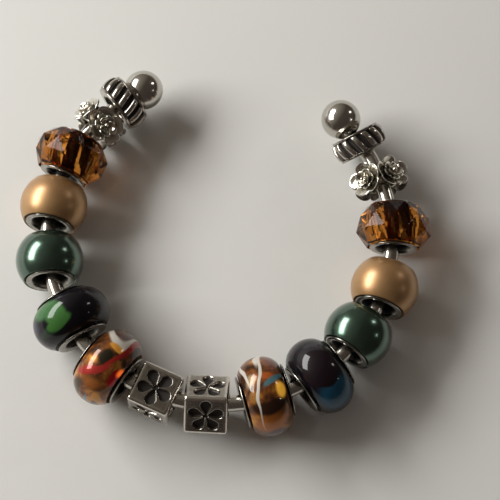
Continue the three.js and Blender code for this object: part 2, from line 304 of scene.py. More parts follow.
@dataclass
class Skin:
    """The grids of one piece, gathered into one mesh."""

    name: str
    seat: Seat
    places: list[np.ndarray] = field(default_factory=list)
    faces: list[list[int]] = field(default_factory=list)
    hollows: list[np.ndarray] = field(default_factory=list)
    count: int = 0

    def add(
        self,
        grid: np.ndarray,
        hollow: np.ndarray | float = 0.0,
        loop_rows: bool = True,
        split: bool = False,
    ) -> None:
        """Adds a grid whose columns close on themselves, with its faces turned outwards.

        Args:
            grid: own places, as (rows, columns, 3).
            hollow: how deep each point lies in its hollows, as (rows, columns), or one number for all.
            loop_rows: the last row joins the first one, and otherwise both end in a pole.
            split: each face is cut in two triangles, from its second corner to its fourth.
        """
        rows, columns = grid.shape[:2]
        index = np.arange(rows * columns).reshape(rows, columns)
        low = index if loop_rows else index[:-1]
        high = np.roll(index, -1, 0) if loop_rows else index[1:]
        quads = np.stack([low, high, np.roll(high, -1, 1), np.roll(low, -1, 1)], -1).reshape(-1, 4)
        points = grid.reshape(-1, 3)
        a, b, c, d = (points[quads[:, i]] for i in range(4))
        volume = (a * (np.cross(b, c) + np.cross(c, d))).sum()
        if split:
            quads = np.vstack([quads[:, [0, 1, 3]], quads[:, [1, 2, 3]]])
        if volume < 0:
            quads = quads[:, ::-1]
        self.places.append(points)
        self.faces.extend((quads + self.count).tolist())
        self.hollows.append(np.broadcast_to(hollow, (rows, columns)).reshape(-1))
        self.count += len(points)

    def build(self, smooth: bool = True) -> bpy.types.Object:
        """Writes the mesh, with the place in it, and links an object at the origin into the scene.

        Args:
            smooth: the faces are shaded smooth.

        Returns:
            The new object.
        """
        own = np.vstack(self.places)
        mesh = bpy.data.meshes.new(self.name)
        mesh.from_pydata((self.seat.place(own) * MM).tolist(), [], self.faces)
        place = mesh.attributes.new(PLACE, "FLOAT_VECTOR", "POINT")
        place.data.foreach_set("vector", own.ravel().astype(np.float32))
        hollow = mesh.attributes.new(HOLLOW, "FLOAT", "POINT")
        hollow.data.foreach_set("value", np.concatenate(self.hollows).astype(np.float32))
        mesh.polygons.foreach_set("use_smooth", [smooth] * len(mesh.polygons))
        mesh.validate()
        mesh.update()
        return linked(self.name, mesh)


# Materials


class Nodes:
    """A node tree, and short ways to add nodes to it."""

    def __init__(self, tree: bpy.types.NodeTree) -> None:
        """Takes the tree to add to."""
        self.tree = tree

    def feed(self, socket: bpy.types.NodeSocket, value: Any) -> None:
        """Links an output to a socket, or sets the socket to a value, a colour with full alpha."""
        if isinstance(value, bpy.types.NodeSocket):
            self.tree.links.new(value, socket)
        else:
            socket.default_value = (*value, 1.0) if socket.type == "RGBA" else value

    def node(self, kind: str, inputs: dict[Any, Any] | None = None, **settings: Any) -> Any:
        """Adds a node.

        Args:
            kind: the node's type.
            inputs: a value or an output for each named or numbered input.
            settings: the node's own properties.

        Returns:
            The node.
        """
        made = self.tree.nodes.new(kind)
        for key, value in settings.items():
            setattr(made, key, value)
        for key, value in (inputs or {}).items():
            self.feed(made.inputs[key], value)
        return made

    def attribute(self, name: str) -> Any:
        """The node that reads one of the piece's own attributes."""
        return self.node("ShaderNodeAttribute", attribute_name=name)

    def place(self) -> Any:
        """The output with the piece's own place."""
        return self.attribute(PLACE).outputs["Vector"]

    def noise(self, scale: float, detail: float = 3.0, place: Any = None, roughness: float = 0.5) -> Any:
        """The value of a noise over the piece's own millimetres.

        Args:
            scale: lumps to a millimetre.
            detail: how many finer layers it has.
            place: the place to read, instead of the piece's own.
            roughness: the strength of the finer layers.

        Returns:
            The value's output.
        """
        where = place or self.place()
        inputs = {"Vector": where, "Scale": scale, "Detail": detail, "Roughness": roughness}
        return self.node("ShaderNodeTexNoise", inputs).outputs["Fac"]

    def ramp(self, value: Any, stops: Iterable[tuple[float, Colour]]) -> Any:
        """Colours by value, through stops of (position, colour) from low to high."""
        made = self.node("ShaderNodeValToRGB", {0: value})
        elements = made.color_ramp.elements
        for number, (position, colour) in enumerate(stops):
            stop = elements[number] if number < 2 else elements.new(position)
            stop.position, stop.color = position, (*colour, 1.0)
        return made.outputs["Color"]

    def mix(self, mask: Any, low: Any, high: Any) -> Any:
        """A colour mixed from two by a mask, which is 0 for the first and 1 for the second."""
        return self.node("ShaderNodeMix", {0: mask, 6: low, 7: high}, data_type="RGBA").outputs[2]

    def span(
        self, value: Any, low: Any, high: Any, start: Any = 0.0, end: Any = 1.0, kind: str = "LINEAR"
    ) -> Any:
        """A value carried from the range low..high to the range start..end, and held to it."""
        inputs = {"Value": value, "From Min": low, "From Max": high, "To Min": start, "To Max": end}
        return self.node("ShaderNodeMapRange", inputs, interpolation_type=kind).outputs["Result"]

    def sum(self, first: Any, second: Any, operation: str = "ADD") -> Any:
        """Two values joined by a sum, or by another operation."""
        return self.node("ShaderNodeMath", {0: first, 1: second}, operation=operation).outputs[0]

    def vectors(self, first: Any, second: Any, operation: str = "ADD") -> Any:
        """Two vectors joined by a sum, or by another operation that gives a vector."""
        return self.node("ShaderNodeVectorMath", {0: first, 1: second}, operation=operation).outputs[0]

    def group(self, tree: bpy.types.NodeTree, inputs: dict[str, Any]) -> Any:
        """The output of a shared effect with values of its own."""
        return self.node("ShaderNodeGroup", inputs, node_tree=tree).outputs[0]


class Paint(Nodes):
    """One material with a Principled shader."""

    def __init__(self, name: str) -> None:
        """Makes the material, with the given name."""
        self.material = bpy.data.materials.new(name)
        self.material.use_nodes = True
        super().__init__(self.material.node_tree)
        self.shader = self.tree.nodes["Principled BSDF"]

    def set(self, **values: Any) -> None:
        """Feeds the shader's sockets, named with underscores for spaces, with outputs or values."""
        for key, value in values.items():
            self.feed(self.shader.inputs[key.replace("_", " ")], value)

    def bump(self, height: Any, strength: float, distance: float) -> None:
        """Feeds the shader's normal with a bump.

        Args:
            height: the height's output, in 0..1.
            strength: the share of it that shows.
            distance: its full height in millimetres.
        """
        inputs = {"Height": height, "Strength": strength, "Distance": distance * MM}
        self.set(Normal=self.node("ShaderNodeBump", inputs).outputs["Normal"])


class Effects:
    """The node groups that several materials share, each made once."""

    def __init__(self) -> None:
        """Makes the groups."""
        self.spot = self._spot()
        self.scuffs = self._scuffs()

    @staticmethod
    def _new(name: str, vectors: tuple[str, ...], values: tuple[str, ...], result: str) -> tuple[Nodes, Any]:
        """An empty group that puts out one value.

        Args:
            name: its name.
            vectors: its vector inputs.
            values: its value inputs, after those.
            result: its output.

        Returns:
            The group's nodes, and the outputs that hold its inputs.
        """
        tree = bpy.data.node_groups.new(name, "ShaderNodeTree")
        for socket in vectors + values:
            kind = "NodeSocketVector" if socket in vectors else "NodeSocketFloat"
            tree.interface.new_socket(socket, in_out="INPUT", socket_type=kind)
        tree.interface.new_socket(result, in_out="OUTPUT", socket_type="NodeSocketFloat")
        nodes = Nodes(tree)
        return nodes, nodes.node("NodeGroupInput").outputs

    def _spot(self) -> bpy.types.NodeTree:
        """A soft-edged ellipsoid on a piece's own places: 1 inside and 0 outside.

        The mask falls from 1 to 0 as |R(place - centre) / size| goes from 1 - soft to 1 + soft.

        Returns:
            The group.
        """
        nodes, given = self._new("spot", ("Place", "Centre", "Turn", "Size"), ("Soft",), "Mask")
        names = {"Vector": "Place", "Location": "Centre", "Rotation": "Turn", "Scale": "Size"}
        inputs = {socket: given[name] for socket, name in names.items()}
        fitted = nodes.node("ShaderNodeMapping", inputs, vector_type="TEXTURE").outputs[0]
        length = nodes.node("ShaderNodeVectorMath", {0: fitted}, operation="LENGTH").outputs["Value"]
        low, high = nodes.sum(1.0, given["Soft"], "SUBTRACT"), nodes.sum(1.0, given["Soft"])
        nodes.node("NodeGroupOutput", {"Mask": nodes.span(length, low, high, 1.0, 0.0, "SMOOTHSTEP")})
        return nodes.tree

    def _scuffs(self) -> bpy.types.NodeTree:
        """Fine wear on polished metal: a roughness with long faint scratches and smears in it.

        Returns:
            The group.
        """
        nodes, given = self._new("scuffs", ("Place",), ("Low", "High"), "Roughness")
        stretch = {"Vector": given["Place"], "Scale": (0.6, 7.0, 7.0)}
        scratch = nodes.noise(1.0, 4.0, nodes.node("ShaderNodeMapping", stretch).outputs[0])
        both = nodes.sum(scratch, nodes.noise(0.45, 2.0, given["Place"]), "MULTIPLY")
        worn = nodes.span(both, 0.15, 0.42, given["Low"], given["High"])
        nodes.node("NodeGroupOutput", {"Roughness": worn})
        return nodes.tree


@dataclass(frozen=True)
class PolishedMetal:
    """Bright steel with faint scuffs."""

    name: str
    tint: Colour
    roughness: tuple[float, float]
    shadow: float = 0.86  # the darker patches' share of the tint

    def make(self, effects: Effects) -> bpy.types.Material:
        """Builds the material from the shared effects."""
        paint = Paint(self.name)
        darker = tuple(self.shadow * c for c in self.tint)
        low, high = self.roughness
        paint.set(
            Base_Color=paint.mix(paint.noise(0.5, 2.0), darker, self.tint),
            Metallic=1.0,
            Roughness=paint.group(effects.scuffs, {"Place": paint.place(), "Low": low, "High": high}),
        )
        return paint.material


@dataclass(frozen=True)
class AntiqueSilver:
    """Cast silver, bright where hands rub it and dark brown-black in its hollows.

    roughness is that of the bright places, and what the hollows add to it. grain is the height of the
    cast skin in millimetres, and patches how far the tarnish strays from the hollows.
    """

    name: str
    bright: Colour
    dull: Colour
    pit: Colour
    roughness: tuple[float, float]
    grain: float = 0.05
    patches: float = 0.45
    wear: float = 0.12

    def make(self, effects: Effects) -> bpy.types.Material:
        """Builds the material from the shared effects."""
        paint = Paint(self.name)
        hollow = paint.attribute(HOLLOW).outputs["Fac"]
        patchy = paint.sum(paint.noise(1.1, 4.0), 0.5, "SUBTRACT")
        depth = paint.sum(hollow, paint.sum(patchy, self.patches, "MULTIPLY"))
        low, added = self.roughness
        worn = paint.group(effects.scuffs, {"Place": paint.place(), "Low": low, "High": low + self.wear})
        paint.set(
            Base_Color=paint.ramp(depth, [(0.0, self.bright), (0.4, self.dull), (0.85, self.pit)]),
            Metallic=paint.span(depth, 0.55, 1.0, 1.0, 0.35),
            Roughness=paint.sum(worn, paint.span(depth, 0.3, 1.0, 0.0, added)),
        )
        coarse = paint.sum(paint.noise(2.2, 4.0), paint.span(hollow, 0.3, 1.0, 0.25, 1.0), "MULTIPLY")
        paint.bump(coarse, 0.8, self.grain)
        return paint.material


@dataclass(frozen=True)
class Lustre:
    """The satin coat of an imitation pearl."""

    name: str
    body: Colour
    deep: Colour
    roughness: float
    metallic: float
    coat: float
    coat_roughness: float

    def make(self) -> bpy.types.Material:
        """Builds the material."""
        paint = Paint(self.name)
        fleck = paint.noise(9.0, 2.0)
        low, high = self.roughness - 0.03, self.roughness + 0.05
        paint.set(
            Base_Color=paint.mix(paint.span(paint.noise(0.22, 3.0), 0.35, 0.65), self.deep, self.body),
            Roughness=paint.span(fleck, 0.35, 0.65, low, high),
            Metallic=self.metallic,
            Coat_Weight=self.coat,
            Coat_Roughness=self.coat_roughness,
        )
        paint.bump(fleck, 0.15, 0.01)
        return paint.material


@dataclass(frozen=True)
class CutGlass:
    """Clear coloured glass, slightly cloudy in places."""

    name: str
    light: Colour
    deep: Colour
    index: float = 1.5
    shine: Colour = (0.3, 0.27, 0.27)

    def make(self) -> bpy.types.Material:
        """Builds the material."""
        paint = Paint(self.name)
        cloud = paint.span(paint.noise(0.35, 2.0), 0.38, 0.62)
        paint.set(
            Base_Color=paint.mix(cloud, self.deep, self.light),
            Transmission_Weight=1.0,
            Roughness=0.01,
            IOR=self.index,
            Specular_Tint=self.shine,
        )
        return paint.material


@dataclass(frozen=True)
class Spot:
    """One patch of colour in a blown bead, an ellipsoid with its middle on the bead's surface.

    turn is where it lies round the wire, in degrees from the top towards the cuff's middle, and along is
    its place along the wire. size is its half lengths along the wire, round it and into the glass. slant
    turns it on the surface, in degrees, from along the wire towards greater turns. Lengths are in
    millimetres. share is how much of the colour shows, and the glow how much of it is painted light that the
    glass gives off.
    """

    colour: Colour
    turn: float
    along: float
    size: tuple[float, float, float]
    slant: float = 0.0
    soft: float = 0.2
    share: float = 1.0
    painted_glow: float = 0.0

    def placed(self) -> tuple[Vector, tuple[float, float, float]]:
        """Its middle on the bead's own axes, and its turns round them in radians.

        The outline is radius = middle + depth cos a, along = reach sin a, so the surface looks in the
        direction (sin a / reach, cos a / depth) there.

        Returns:
            The middle and the three turns.
        """
        a = math.asin(self.along / BLOWN_REACH)
        turn, slant = math.radians(self.turn), math.radians(self.slant)
        round_it = Vector((0.0, math.cos(turn), -math.sin(turn)))
        away = Vector((0.0, math.sin(turn), math.cos(turn)))
        wire = Vector((1.0, 0.0, 0.0))
        out = (wire * math.sin(a) / BLOWN_REACH + away * math.cos(a) / BLOWN_DEPTH).normalized()
        down = round_it.cross(out)
        first = down * math.cos(slant) + round_it * math.sin(slant)
        axes = Matrix((first, out.cross(first), out)).transposed()
        middle = wire * self.along + away * (BLOWN_MIDDLE + BLOWN_DEPTH * math.cos(a))
        return middle, tuple(axes.to_euler("XYZ"))

    def mask(self, paint: Paint, effects: Effects, place: Any) -> Any:
        """How much of the spot shows at a place.

        Args:
            paint: the material to add it to.
            effects: the shared effects.
            place: the place's output.

        Returns:
            The mask's output.
        """
        middle, angles = self.placed()
        inputs = {"Place": place, "Centre": middle, "Turn": angles, "Size": self.size, "Soft": self.soft}
        whole = paint.group(effects.spot, inputs)
        return paint.sum(whole, self.share, "MULTIPLY") if self.share < 1 else whole


@dataclass(frozen=True)
class ArtGlass:
    """Blown glass with colours laid in it, under a clear polished skin.

    wobble is how far, in millimetres, the ground and the spots are stirred, and ripple the height of the
    dents that the light on the colours shows. shine is that of the colours, and skin that of the surface.
    """

    name: str
    ground: tuple[tuple[float, Colour], ...]
    ground_scale: float
    spots: tuple[Spot, ...]
    wobble: float
    shine: float
    skin: float
    skin_index: float
    metallic: float = 0.0
    roughness: float = 0.35
    ripple: float = 0.05

    def make(self, effects: Effects) -> bpy.types.Material:
        """Builds the material, the ground first and the spots over it in order."""
        paint = Paint(self.name)
        place = paint.place()
        stir = paint.node("ShaderNodeTexNoise", {"Vector": place, "Scale": 0.22, "Detail": 0.5})
        moved = paint.vectors(stir.outputs["Color"], (0.5, 0.5, 0.5), "SUBTRACT")
        stirred = paint.vectors(place, paint.vectors(moved, (3 * self.wobble,) * 3, "MULTIPLY"))
        colour = paint.ramp(paint.noise(self.ground_scale, 4.0, stirred), self.ground)
        painted_glow: Any = 0.0
        for spot in self.spots:
            mask = spot.mask(paint, effects, stirred)
            colour = paint.mix(mask, colour, spot.colour)
            # painted light: a spot's glow is given off as emission, standing in for window light coming back
            # out of the glass
            if spot.painted_glow:
                painted_glow = paint.sum(painted_glow, paint.sum(mask, spot.painted_glow, "MULTIPLY"))
        if any(spot.painted_glow for spot in self.spots):
            paint.set(Emission_Strength=1.0, Emission_Color=paint.mix(painted_glow, BLACK, colour))
        paint.bump(paint.noise(1.5, 3.0, stirred), 0.6, self.ripple)
        paint.set(
            Base_Color=colour,
            Metallic=self.metallic,
            Roughness=self.roughness,
            Specular_IOR_Level=self.shine,
            Coat_Weight=self.skin,
            Coat_Roughness=0.02,
            Coat_IOR=self.skin_index,
        )
        return paint.material


def dark_glass(side: Side, wobble: float, *spots: Spot) -> ArtGlass:
    """Near-black glass with the given spots, stirred by the wobble in millimetres."""
    ground = ((0.35, shade(9, 9, 12)), (0.55, shade(15, 12, 19)), (0.75, shade(24, 19, 29)))
    return ArtGlass(f"dark_glass_{side.value}", ground, 0.3, spots, wobble, 0.06, 0.85, 1.4)


def foil_glass(side: Side, *spots: Spot) -> ArtGlass:
    """Brown glass over copper and gold foil, with the given spots."""
    ground = (
        (0.3, shade(36, 21, 14)),
        (0.42, shade(80, 46, 24)),
        (0.54, shade(130, 76, 32)),
        (0.68, shade(196, 134, 54)),
    )
    return ArtGlass(
        f"foil_glass_{side.value}", ground, 0.42, spots, 0.7, 0.08, 0.8, 1.45, metallic=0.2, roughness=0.3
    )


MAROON = shade(24, 14, 20)
OLIVE = shade(42, 40, 24)
RED = shade(160, 38, 34)
CREAM = shade(204, 198, 188)
WHITE = shade(212, 206, 196)
GLASSES = {
    (Slot.DARK, Side.LEFT): dark_glass(
        Side.LEFT,
        0.5,
        Spot(shade(40, 60, 44), -46, 1.6, (0.8, 2.6, 2.0), soft=0.5, share=0.7),
        Spot(shade(60, 104, 48), -20, 1.0, (1.1, 2.5, 2.2), 10),
        Spot(shade(58, 102, 48), -17, -0.6, (2.0, 1.9, 2.2)),
        Spot(shade(60, 102, 60), -34, -2.4, (1.5, 3.3, 2.4), -18, soft=0.35),
        Spot(shade(46, 44, 62), -66, -0.9, (1.3, 1.5, 2.2), 8, soft=0.6),
        Spot(shade(52, 100, 48), 150, 0.6, (1.9, 2.6, 2.4)),
        Spot(shade(64, 110, 68), 186, -2.0, (1.4, 3.0, 2.4), 15, soft=0.3),
    ),
    (Slot.DARK, Side.RIGHT): dark_glass(
        Side.RIGHT,
        0.3,
        Spot(shade(24, 74, 100), -48, 0.1, (3.4, 3.4, 3.2), soft=0.3),
        Spot(shade(84, 82, 86), 34, 0.3, (3.0, 1.4, 3.0), soft=0.5, share=0.25),
        Spot(MAROON, 2, -0.3, (3.1, 3.6, 4.0), soft=0.06),
        Spot(shade(22, 66, 90), 138, 0.1, (3.0, 3.2, 3.0), soft=0.3),
        Spot(MAROON, 182, -0.3, (3.1, 3.6, 4.0), soft=0.06),
    ),
    (Slot.FOIL, Side.LEFT): foil_glass(
        Side.LEFT,
        Spot(shade(206, 140, 58), -76, 2.4, (1.1, 3.0, 2.5)),
        Spot(OLIVE, -92, 2.0, (0.7, 1.9, 2.0)),
        Spot(shade(60, 46, 26), -66, -2.2, (0.9, 2.4, 2.0)),
        Spot(shade(164, 98, 48), -36, 0.4, (1.9, 1.1, 2.0), soft=0.6, share=0.8),
        Spot(shade(104, 130, 148), -92, 0.4, (0.45, 3.2, 2.0)),
        Spot(CREAM, 72, -0.35, (3.35, 5.2, 6.0), soft=0.06),
        Spot(shade(74, 46, 32), 76, -0.5, (2.3, 4.1, 6.0), soft=0.08),
        Spot(shade(120, 72, 44), 84, -0.5, (1.1, 2.2, 4.0), soft=0.5),
        Spot(shade(34, 30, 18), 4, -0.4, (1.2, 1.5, 2.2), 15, soft=0.3),
        Spot(shade(214, 150, 62), 26, 0.2, (1.7, 0.7, 2.0), 8),
        Spot(RED, 50, 2.3, (0.55, 8.0, 7.0), -5, soft=0.3),
        Spot(shade(156, 44, 38), -20, -1.1, (3.6, 0.65, 2.0), 42, soft=0.3),
        Spot(shade(190, 22, 28), -14, 3.0, (0.9, 1.7, 2.0)),
        # partly painted light: an orange spot of the glass, with a painted glow of window light coming back
        # out of it
        Spot(shade(255, 116, 36), -2, 3.4, (0.7, 0.9, 1.6), soft=0.5, painted_glow=0.6),
        Spot(CREAM, 200, 1.0, (0.5, 8.0, 7.0), 14, soft=0.12),
        Spot(RED, 160, -1.6, (0.6, 4.0, 4.0), -20, soft=0.3),
        Spot(OLIVE, 214, -1.6, (1.0, 2.0, 2.0)),
    ),
    (Slot.FOIL, Side.RIGHT): foil_glass(
        Side.RIGHT,
        Spot(shade(176, 104, 42), -54, -0.1, (3.0, 2.6, 3.0), soft=0.35),
        Spot(shade(84, 50, 48), -88, 0.0, (2.3, 2.3, 2.4), soft=0.3),
        Spot(shade(118, 72, 56), 54, 2.3, (1.4, 3.2, 3.0), soft=0.4),
        Spot(shade(50, 28, 16), -24, 0.0, (4.2, 1.1, 2.4), 4, soft=0.3),
        Spot(shade(170, 88, 38), 20, 0.5, (1.4, 0.9, 2.0), soft=0.4),
        # partly painted light: a gold foil spot, with a painted glow of window light coming back out of the
        # glass
        Spot(shade(240, 178, 62), -5, 2.6, (1.2, 1.3, 2.0), soft=0.35, painted_glow=0.4),
        Spot(shade(150, 104, 50), -6, -2.2, (0.7, 0.9, 1.5), soft=0.5),
        # painted reflection: a pale mottled patch where the window shows on the glass
        Spot(shade(190, 166, 128), 18, -2.5, (0.9, 1.1, 1.6), soft=0.4, share=0.5),
        Spot(shade(84, 124, 134), 13, 1.6, (2.4, 0.6, 2.0), 26, soft=0.25),
        Spot(WHITE, 22, -0.75, (0.22, 8.0, 8.0), -19, soft=0.3),
        Spot(WHITE, 70, 0.95, (0.6, 3.6, 5.0), -19, soft=0.25),
        Spot(WHITE, 44, -3.1, (0.28, 3.6, 5.0), 0, soft=0.3),
        Spot(WHITE, 190, 0.6, (0.34, 8.0, 8.0), 16, soft=0.2),
        Spot(shade(70, 126, 146), 160, -1.0, (2.4, 0.8, 2.0), 35, soft=0.2),
    ),
}


@dataclass(frozen=True)
class Finishes:
    """Every material of the bracelet: the metals by name, and the beads' by slot and side."""

    steel: bpy.types.Material
    eyelet: bpy.types.Material
    silver: bpy.types.Material
    rose_silver: bpy.types.Material
    beads: dict[tuple[Slot, Side], bpy.types.Material]

    @classmethod
    def mixed(cls) -> "Finishes":
        """Mixes all finishes."""
        effects = Effects()
        metals = (
            PolishedMetal("polished_steel", (0.64, 0.61, 0.56), (0.13, 0.26)),
            AntiqueSilver(
                "eyelet_silver", (0.5, 0.48, 0.44), (0.2, 0.19, 0.17), (0.03, 0.028, 0.025), (0.17, 0.3), 0.04
            ),
            AntiqueSilver(
                "antique_silver", (0.72, 0.68, 0.62), (0.36, 0.33, 0.29), (0.035, 0.03, 0.027), (0.1, 0.5)
            ),
            AntiqueSilver(
                "rose_silver", (0.93, 0.91, 0.84), (0.62, 0.58, 0.48), (0.16, 0.14, 0.11), (0.1, 0.25)
            ),
        )
        alike = {
            Slot.GOLD: Lustre("gold_lustre", (0.51, 0.3, 0.13), (0.42, 0.235, 0.1), 0.4, 0.72, 0.6, 0.28),
            Slot.GREEN: Lustre("green_lustre", (0.085, 0.15, 0.11), (0.05, 0.1, 0.07), 0.2, 0.9, 0.9, 0.15),
            Slot.AMBER: CutGlass("amber_cut_glass", (0.66, 0.27, 0.045), (0.42, 0.13, 0.018)),
        }
        made = {slot: finish.make() for slot, finish in alike.items()}
        beads = {(slot, side): material for slot, material in made.items() for side in Side}
        beads |= {key: glass.make(effects) for key, glass in GLASSES.items()}
        return cls(*(metal.make(effects) for metal in metals), beads)


# Pieces


@dataclass
class Piece:
    """What every piece of the bracelet has in common."""

    finishes: Finishes
    bend: Bend

    def dress(self, piece: bpy.types.Object, material: bpy.types.Material, slot: Slot, node: str) -> None:
        """Gives a piece its finish, and puts it in the place of its solid.

        Args:
            piece: the new object.
            material: its material.
            slot: the record's slot for it; not used.
            node: the solid that it replaces.
        """
        piece.data.materials.append(material)
        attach(piece, "root")
        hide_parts(node)
        log.info("%s: %d faces", piece.name, len(piece.data.polygons))


@dataclass
class Cuff(Piece):
    """The wire, with a turned-down pin at each end, and the ball on each pin."""

    wire: float = 1.4
    pin: float = 0.8
    pin_length: float = 2.4
    ball: float = 3.55
    pin_hole: float = 1.05
    pin_clearance: float = 0.25
    edge: float = 0.2  # rounding at the ends of the wire and of the pins
    step: float = 0.01  # length of the step from a pin up to the wire
    shoulder: float = 1.0  # of the wire's length at each end, without rows of its own
    hole_slope: float = 0.05  # length of the slope at the mouth of a ball's hole
    edge_rows: int = 5
    wire_rows: int = 280
    wire_columns: int = 48
    ball_rows: int = 60
    ball_columns: int = 96

    def ends(self) -> tuple[dict[Side, float], float]:
        """The wire's two end angles round the bend, and how far each ball's middle stands off them.

        A ball's middle P lies on the tangent at the end, at s = sqrt(|P|^2 - R^2) from it, so the end's
        angle is that of P less atan(s / R).

        Returns:
            The angle at each side, and the stand-off.
        """
        angles, stands = {}, []
        for side in Side:
            low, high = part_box(f"ball_{side.value}")
            x, y, _ = np.array((low + high) / 2) / MM - self.bend.centre
            stands.append(math.sqrt(max(x**2 + y**2 - self.bend.radius**2, 0.0)))
            lean = math.atan2(stands[-1], self.bend.radius)
            angles[side] = math.atan2(x, -y) - side.sign * lean
        return angles, sum(stands) / 2

    def path(self, along: np.ndarray, first: float, last: float) -> tuple[np.ndarray, np.ndarray]:
        """The wire's middle line: an arc of radius R, straight on beyond its two ends.

        At the angle a the line is at R (sin a, -cos a), and its direction is (cos a, sin a).

        Args:
            along: lengths from the line's middle.
            first: the first angle.
            last: the last angle.

        Returns:
            The places, from the bend's centre, and the directions.
        """
        radius, middle = self.bend.radius, (first + last) / 2
        angle = np.clip(middle + along / radius, first, last)
        beyond = along - (angle - middle) * radius
        level = np.zeros_like(angle)
        direction = np.stack([np.cos(angle), np.sin(angle), level], -1)
        place = np.stack([np.sin(angle), -np.cos(angle), level], -1) * radius
        return place + direction * beyond[:, None], direction

    def rounded(self, end: float, radius: float) -> np.ndarray:
        """Rows of (length, radius) round an outer edge, from the end face to the side."""
        quarter = arc(0, math.pi / 2, self.edge_rows)
        return np.column_stack(
            [end - self.edge + self.edge * np.cos(quarter), radius - self.edge + self.edge * np.sin(quarter)]
        )

    def build_wire(self) -> None:
        """The wire: a circle carried along the path, narrowed to the pin over its last stretch."""
        angles, _ = self.ends()
        first, last = angles[Side.LEFT], angles[Side.RIGHT]
        half = (last - first) / 2 * self.bend.radius
        pin = self.rounded(half + self.pin_length, self.pin)
        pin[0, 1] = 0.0
        end = np.vstack([pin, [[half + self.step, self.pin]], self.rounded(half, self.wire)])
        reach = half - self.shoulder
        middle = np.linspace(-reach, reach, self.wire_rows)
        rows = np.vstack(
            [end * np.array([-1.0, 1.0]), np.column_stack([middle, 0 * middle + self.wire]), end[::-1]]
        )
        place, direction = self.path(rows[:, 0], first, last)
        turn = turns(self.wire_columns)
        inward = np.stack([-direction[:, 1], direction[:, 0], direction[:, 2]], -1)
        ring = inward[:, None] * np.sin(turn)[None, :, None] + np.array([0, 0, 1.0]) * np.cos(turn)[:, None]
        skin = Skin("cuff_wire", Seat(self.bend.centre, np.eye(3)))
        skin.add(place[:, None] + ring * rows[:, 1][:, None, None], loop_rows=False)
        self.dress(skin.build(), self.finishes.steel, Slot.STEEL, "cuff")

    def build_ball(self, side: Side) -> None:
        """A ball with a blind hole for the pin: a circle's outline from the hole's mouth to the far pole."""
        angles, stand = self.ends()
        angle = angles[side]
        axis = np.array([math.cos(angle), math.sin(angle), 0.0])
        end = self.bend.centre + self.bend.radius * np.array([math.sin(angle), -math.cos(angle), 0.0])
        sweep = arc(math.pi - math.asin(self.pin_hole / self.ball), 0, self.ball_rows)
        outside = self.ball * np.column_stack([np.cos(sweep), np.sin(sweep)])
        floor = self.pin_length + self.pin_clearance - stand
        mouth = outside[0, 0] + self.hole_slope
        hole = np.array([[floor, 0.0], [floor, self.pin_hole], [mouth, self.pin_hole]])
        profile = np.vstack([hole, outside]) * np.array([side.sign, 1.0])
        skin = Skin(f"ball_end_{side.value}", Seat.along(end + side.sign * stand * axis, axis))
        skin.add(turned(profile, self.ball_columns), loop_rows=False)
        self.dress(skin.build(), self.finishes.steel, Slot.STEEL, f"ball_{side.value}")

    def build(self) -> None:
        """Makes the wire and both balls."""
        self.build_wire()
        for side in Side:
            self.build_ball(side)


@dataclass
class RibbedRing(Piece):
    """A ring with slanted rounded ribs between two rims, and dark grooves between the ribs."""

    length: float = 4.0
    bore: float = 2.8
    mouth: float = 3.2
    rim: float = 4.45
    rim_width: float = 0.26
    crest: float = 5.0
    groove: float = 4.1
    rib_fall: float = 0.42  # from the crest in the middle to the ribs' ends
    flank: tuple[float, float] = (0.22, 0.62)  # shares of the way up a rib's side, where it rises
    crown: float = 0.14  # of a rib's height, by which its top is rounded
    rib_end: tuple[float, float] = (0.34, 0.02)  # from the rim, where a rib's end begins and stops
    rim_hollow: float = 0.3
    tarnish: tuple[float, float] = (0.15, 0.9)  # shares of a rib's height between which it fades
    rubbed: float = 0.85  # how much of the tarnish is rubbed off the ribs
    ribs: int = 14
    slant: float = 20.0
    band_rows: int = 42
    columns_per_rib: int = 24

    def build(self, side: Side) -> None:
        """Makes one ring.

        The band between the rims stands at groove + (crest - groove) rib(x, t) end(x). rib is 1 over most
        of each of the turns' equal parts and falls to 0 at its edges, and end falls to 0 at the rims.

        Args:
            side: the half of the bracelet.
        """
        half, inset = self.length / 2, self.mouth - self.bore
        band = half - self.rim_width
        along = np.linspace(-band, band, self.band_rows)
        rims = filleted(
            [
                (band, self.rim, 0.12),
                (half, self.rim, 0.16),
                (half, self.mouth, 0.12),
                (half - inset, self.bore, 0.15),
            ]
        )
        profile = np.vstack([np.column_stack([along, 0 * along + self.groove]), rims])
        columns = self.ribs * self.columns_per_rib
        grid = turned(profile, columns)
        x = grid[: self.band_rows, :, 0]
        twist = math.tan(math.radians(self.slant)) / self.crest
        share = np.mod(self.ribs * (turns(columns) - x * twist) / (2 * math.pi), 1.0)
        across = 1 - np.abs(2 * share - 1)
        top = 1 - self.crown + self.crown * smoothstep(0.4, 1.0, across)
        rib = smoothstep(*self.flank, across) * top
        begin, stop = self.rib_end
        height = rib * (1 - smoothstep(band - begin, band - stop, np.abs(x)))
        fall = self.rib_fall * (np.abs(x) / band) ** 2
        radius = self.groove + (self.crest - fall - self.groove) * height
        grid[: self.band_rows, :, 1:] *= (radius / self.groove)[..., None]
        hollow = np.full(grid.shape[:2], self.rim_hollow)
        hollow[: self.band_rows] = 1 - self.rubbed * smoothstep(*self.tarnish, height)
        skin = Skin(f"ribbed_ring_{side.value}", self.bend.seat(f"ring_{side.value}"))
        skin.add(grid, hollow)
        self.dress(skin.build(), self.finishes.silver, Slot.SILVER, f"ring_{side.value}")


@dataclass(frozen=True)
class Tier:
    """A round of petals: from the inner to the outer radius and height, and half a petal's angle."""

    petals: int
    inner: float
    outer: float
    low: float
    high: float
    half_angle: float
    start: float
    cup: float
    tilt: float


